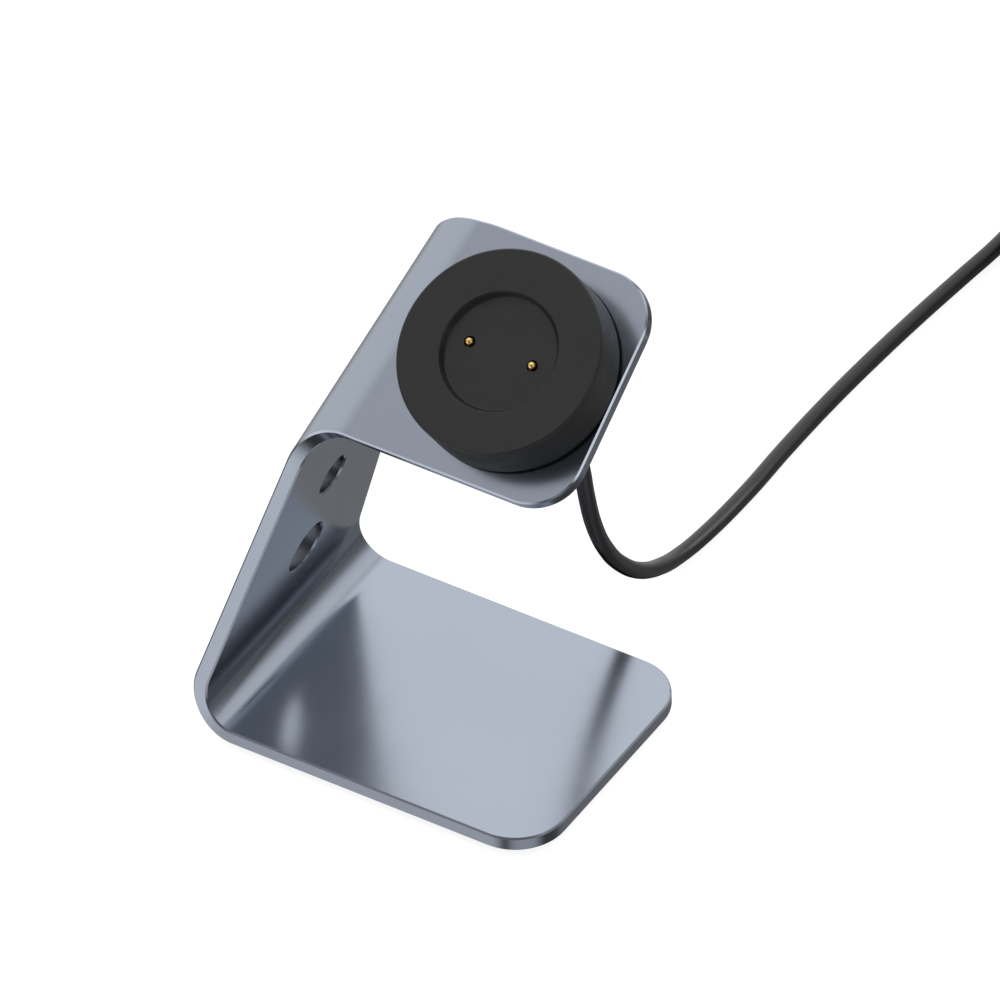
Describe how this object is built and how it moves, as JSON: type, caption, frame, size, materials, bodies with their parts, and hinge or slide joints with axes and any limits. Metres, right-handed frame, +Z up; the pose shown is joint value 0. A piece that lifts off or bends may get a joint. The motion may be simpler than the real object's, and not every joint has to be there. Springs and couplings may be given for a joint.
{
  "type": "smartwatch charging dock",
  "caption": "Charging dock for a smartwatch: a folded aluminium sheet with a pitched top plate, a round puck with sprung contact pins, and a cable ending in a USB plug.",
  "frame": {"origin": "centre of the dock's footprint, on the surface that it stands on", "axes": "+X to the user's right, +Y away from the user, +Z up; the top plate faces up and toward -Y"},
  "size_m": [0.1121, 0.217, 0.0967],
  "materials": {
    "anodised_aluminium": "satin anodised, blue grey",
    "silicone_pad": "matt silicone",
    "puck_plastic": "fine matt moulding",
    "base_plastic": "matt moulding",
    "screw_steel": "plated steel",
    "circuit_board": "solder resist",
    "pin_brass": "turned brass",
    "pin_gold": "gold plated",
    "spring_steel": "spring wire",
    "magnet_nickel": "nickel plated",
    "relief_rubber": "soft moulded",
    "lead_sleeve_red": "wire sleeve",
    "lead_sleeve_black": "wire sleeve",
    "cable_jacket": "satin jacket",
    "tie_strap": "woven strap",
    "plug_plastic": "fine matt moulding",
    "plug_steel": "drawn steel",
    "tongue_plastic": "moulded",
    "contact_gold": "gold plated"
  },
  "bodies": {
    "dock": {"stand": "anodised_aluminium", "base_pad": "silicone_pad", "puck_housing": "puck_plastic", "puck_base": "base_plastic", "outlet_cap": "base_plastic", "cap_screw_1": "screw_steel", "cap_screw_2": "screw_steel", "cap_screw_3": "screw_steel", "contact_board": "circuit_board", "pin_barrel_left": "pin_brass", "pin_barrel_right": "pin_brass", "pin_spring_left": "spring_steel", "pin_spring_right": "spring_steel", "magnet_1": "magnet_nickel", "magnet_2": "magnet_nickel", "magnet_3": "magnet_nickel", "magnet_4": "magnet_nickel", "strain_relief": "relief_rubber", "lead_left": "lead_sleeve_red", "lead_right": "lead_sleeve_black", "cable_run": "cable_jacket", "cable_coil": "cable_jacket", "cable_tail": "cable_jacket", "cable_tie": "tie_strap", "plug_relief": "relief_rubber", "plug_overmould": "plug_plastic", "plug_shell": "plug_steel", "plug_tongue": "tongue_plastic", "plug_contact_1": "contact_gold", "plug_contact_2": "contact_gold", "plug_contact_3": "contact_gold", "plug_contact_4": "contact_gold"},
    "left_pin": {"pin_plunger_left": "pin_gold"},
    "right_pin": {"pin_plunger_right": "pin_gold"}
  },
  "joints": [
    {"name": "left_pin_slide", "type": "slide", "parent": "dock", "child": "left_pin", "axis": [0, 0.5678, -0.8231], "range_m": [0, 0.0008], "stiffness_N_per_m": 400, "deforming": ["pin_spring_left"]},
    {"name": "right_pin_slide", "type": "slide", "parent": "dock", "child": "right_pin", "axis": [0, 0.5678, -0.8231], "range_m": [0, 0.0008], "stiffness_N_per_m": 400, "deforming": ["pin_spring_right"]}
  ]
}
